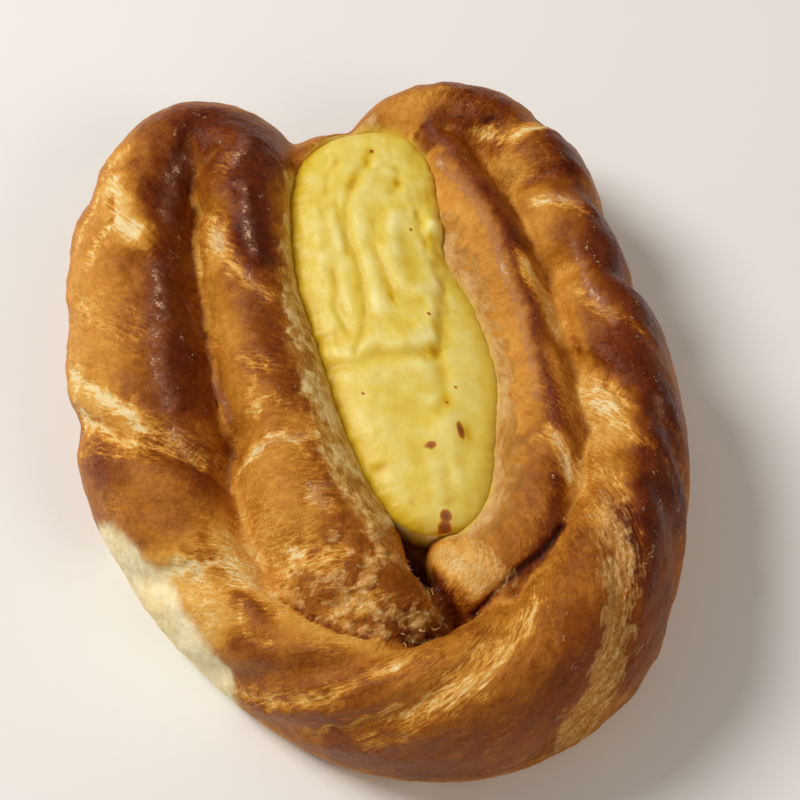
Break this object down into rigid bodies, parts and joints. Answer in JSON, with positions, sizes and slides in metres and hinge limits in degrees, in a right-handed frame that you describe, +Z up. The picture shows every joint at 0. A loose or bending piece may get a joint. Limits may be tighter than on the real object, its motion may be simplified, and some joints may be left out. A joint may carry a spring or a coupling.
{
  "type": "danish pastry",
  "caption": "Baked danish pastry: a twisted rope of leafy golden dough curled back on itself around an oval pool of baked yellow custard.",
  "frame": {"origin": "middle of the pastry's footprint, on the surface that it stands on", "axes": "+Z up, +Y along the pastry from its rounded near end to its two far bends, +X to the right"},
  "size_m": [0.1041, 0.1352, 0.0318],
  "materials": {
    "dough": null,
    "custard": null
  },
  "bodies": {
    "root": {"dough": "dough", "custard": "custard"}
  },
  "joints": []
}
